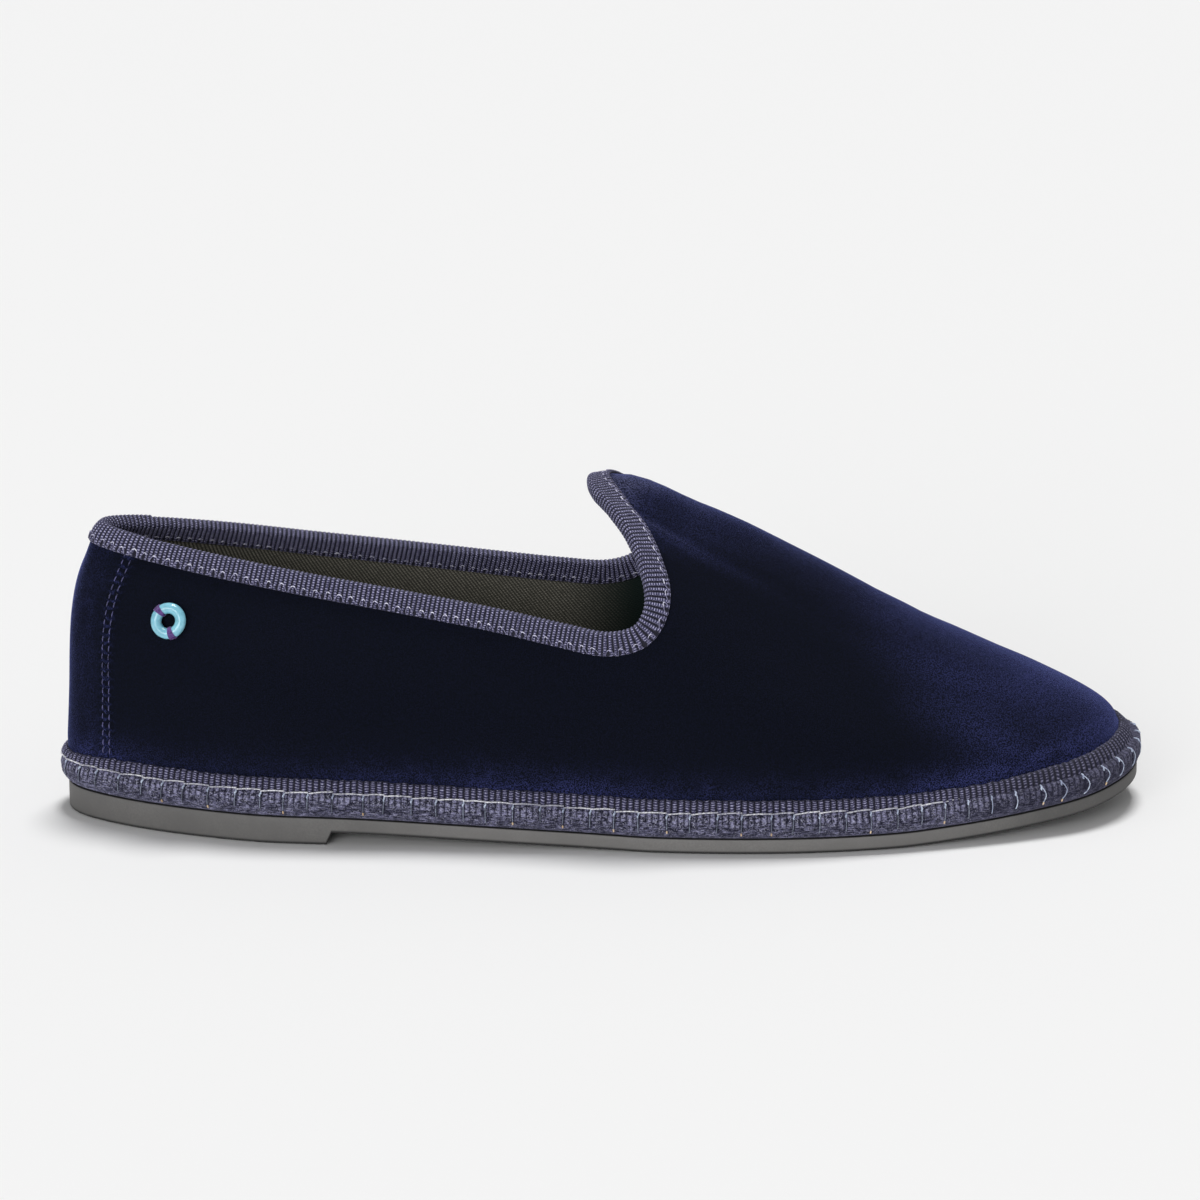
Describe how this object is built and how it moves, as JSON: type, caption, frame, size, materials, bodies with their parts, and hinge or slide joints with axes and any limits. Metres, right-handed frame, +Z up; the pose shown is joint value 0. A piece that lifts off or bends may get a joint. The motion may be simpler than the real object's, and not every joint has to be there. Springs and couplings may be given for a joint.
{
  "type": "friulane",
  "caption": "Navy velvet friulane slipper, right foot, with ribbed ribbon round its collar, a ribbon-wrapped cloth sole and a thin grey rubber outsole.",
  "frame": {"origin": "on the floor, under the middle of the shoe's bounding box", "axes": "+X towards the toe, +Y towards the inner side of the right foot, +Z up"},
  "size_m": [0.2608, 0.0882, 0.0825],
  "materials": {
    "outsole_rubber": "matt moulded grey",
    "sole_ribbon": "braided textile edge",
    "insole_cloth": "plain cloth",
    "velvet": "short navy pile, twill lining",
    "grosgrain": "ribbed ribbon",
    "bead_glass": "opaque glossy glass"
  },
  "bodies": {
    "root": {"outsole": "outsole_rubber", "midsole": "sole_ribbon", "insole": "insole_cloth", "upper": "velvet", "hem_ribbon": "grosgrain", "collar_ribbon": "grosgrain", "ring_bead": "bead_glass"}
  },
  "joints": []
}
